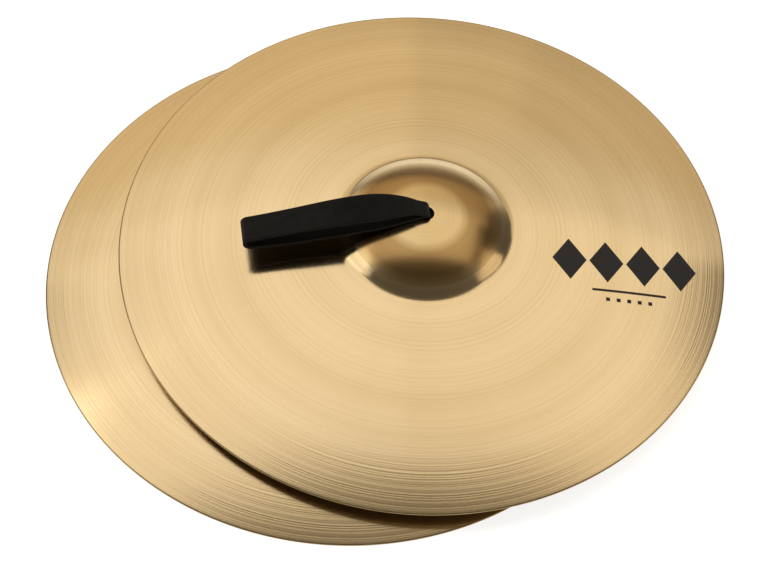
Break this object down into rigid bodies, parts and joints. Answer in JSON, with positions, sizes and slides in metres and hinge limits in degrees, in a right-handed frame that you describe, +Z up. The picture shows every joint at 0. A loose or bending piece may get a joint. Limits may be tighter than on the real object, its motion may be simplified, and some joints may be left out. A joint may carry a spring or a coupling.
{
  "type": "hand cymbals",
  "caption": "Pair of large round bronze hand cymbals lying one over the other, each with a shallow bow, a raised bell and a knotted leather hand strap.",
  "frame": {"origin": "on the floor, under the middle of the overlapping pair", "axes": "+Z up; +X to the right, from the lower cymbal towards the upper one; +Y to the back"},
  "size_m": [0.5127, 0.472, 0.079],
  "materials": {
    "bronze": "lathed bronze with fine circular grooves, brilliant on the bell",
    "leather": "smooth black strap leather"
  },
  "bodies": {
    "rear_cymbal": {"rear_cymbal": "bronze"},
    "rear_strap_root": {"rear_strap_neck": "leather", "rear_strap_knot": "leather", "rear_strap_tails": "leather"},
    "rear_grip": {"rear_strap_grip": "leather"},
    "front_cymbal": {"front_cymbal": "bronze"},
    "front_strap_root": {"front_strap_neck": "leather", "front_strap_knot": "leather", "front_strap_tails": "leather"},
    "front_grip": {"front_strap_grip": "leather"}
  },
  "joints": [
    {"name": "front_lift", "type": "slide", "parent": "rear_cymbal", "child": "front_cymbal", "axis": [0, 0, 1], "range_m": [0, 0.25]},
    {"name": "front_strap_swivel", "type": "hinge", "parent": "front_cymbal", "child": "front_strap_root", "pos_m": [0.02874, 0.00694, 0.06499], "axis": [0.0222, -0.0103, 0.9997], "continuous": true},
    {"name": "front_strap_tilt", "type": "hinge", "parent": "front_strap_root", "child": "front_grip", "pos_m": [0.0288, 0.00691, 0.06799], "axis": [-0.1268, 0.9918, 0.013], "range_deg": [0, 78]},
    {"name": "rear_strap_swivel", "type": "hinge", "parent": "rear_cymbal", "child": "rear_strap_root", "pos_m": [-0.02775, -0.0074, 0.0445], "axis": [0, 0, 1], "range_deg": [-12, 12]},
    {"name": "rear_strap_tilt", "type": "hinge", "parent": "rear_strap_root", "child": "rear_grip", "pos_m": [-0.0263, -0.00701, 0.0475], "axis": [0.2577, -0.9662, 0], "range_deg": [0, 75]}
  ],
  "couplings": [
    {"joint": "rear_strap_tilt", "follows": "front_lift", "rad_per_m": 5.2}
  ]
}
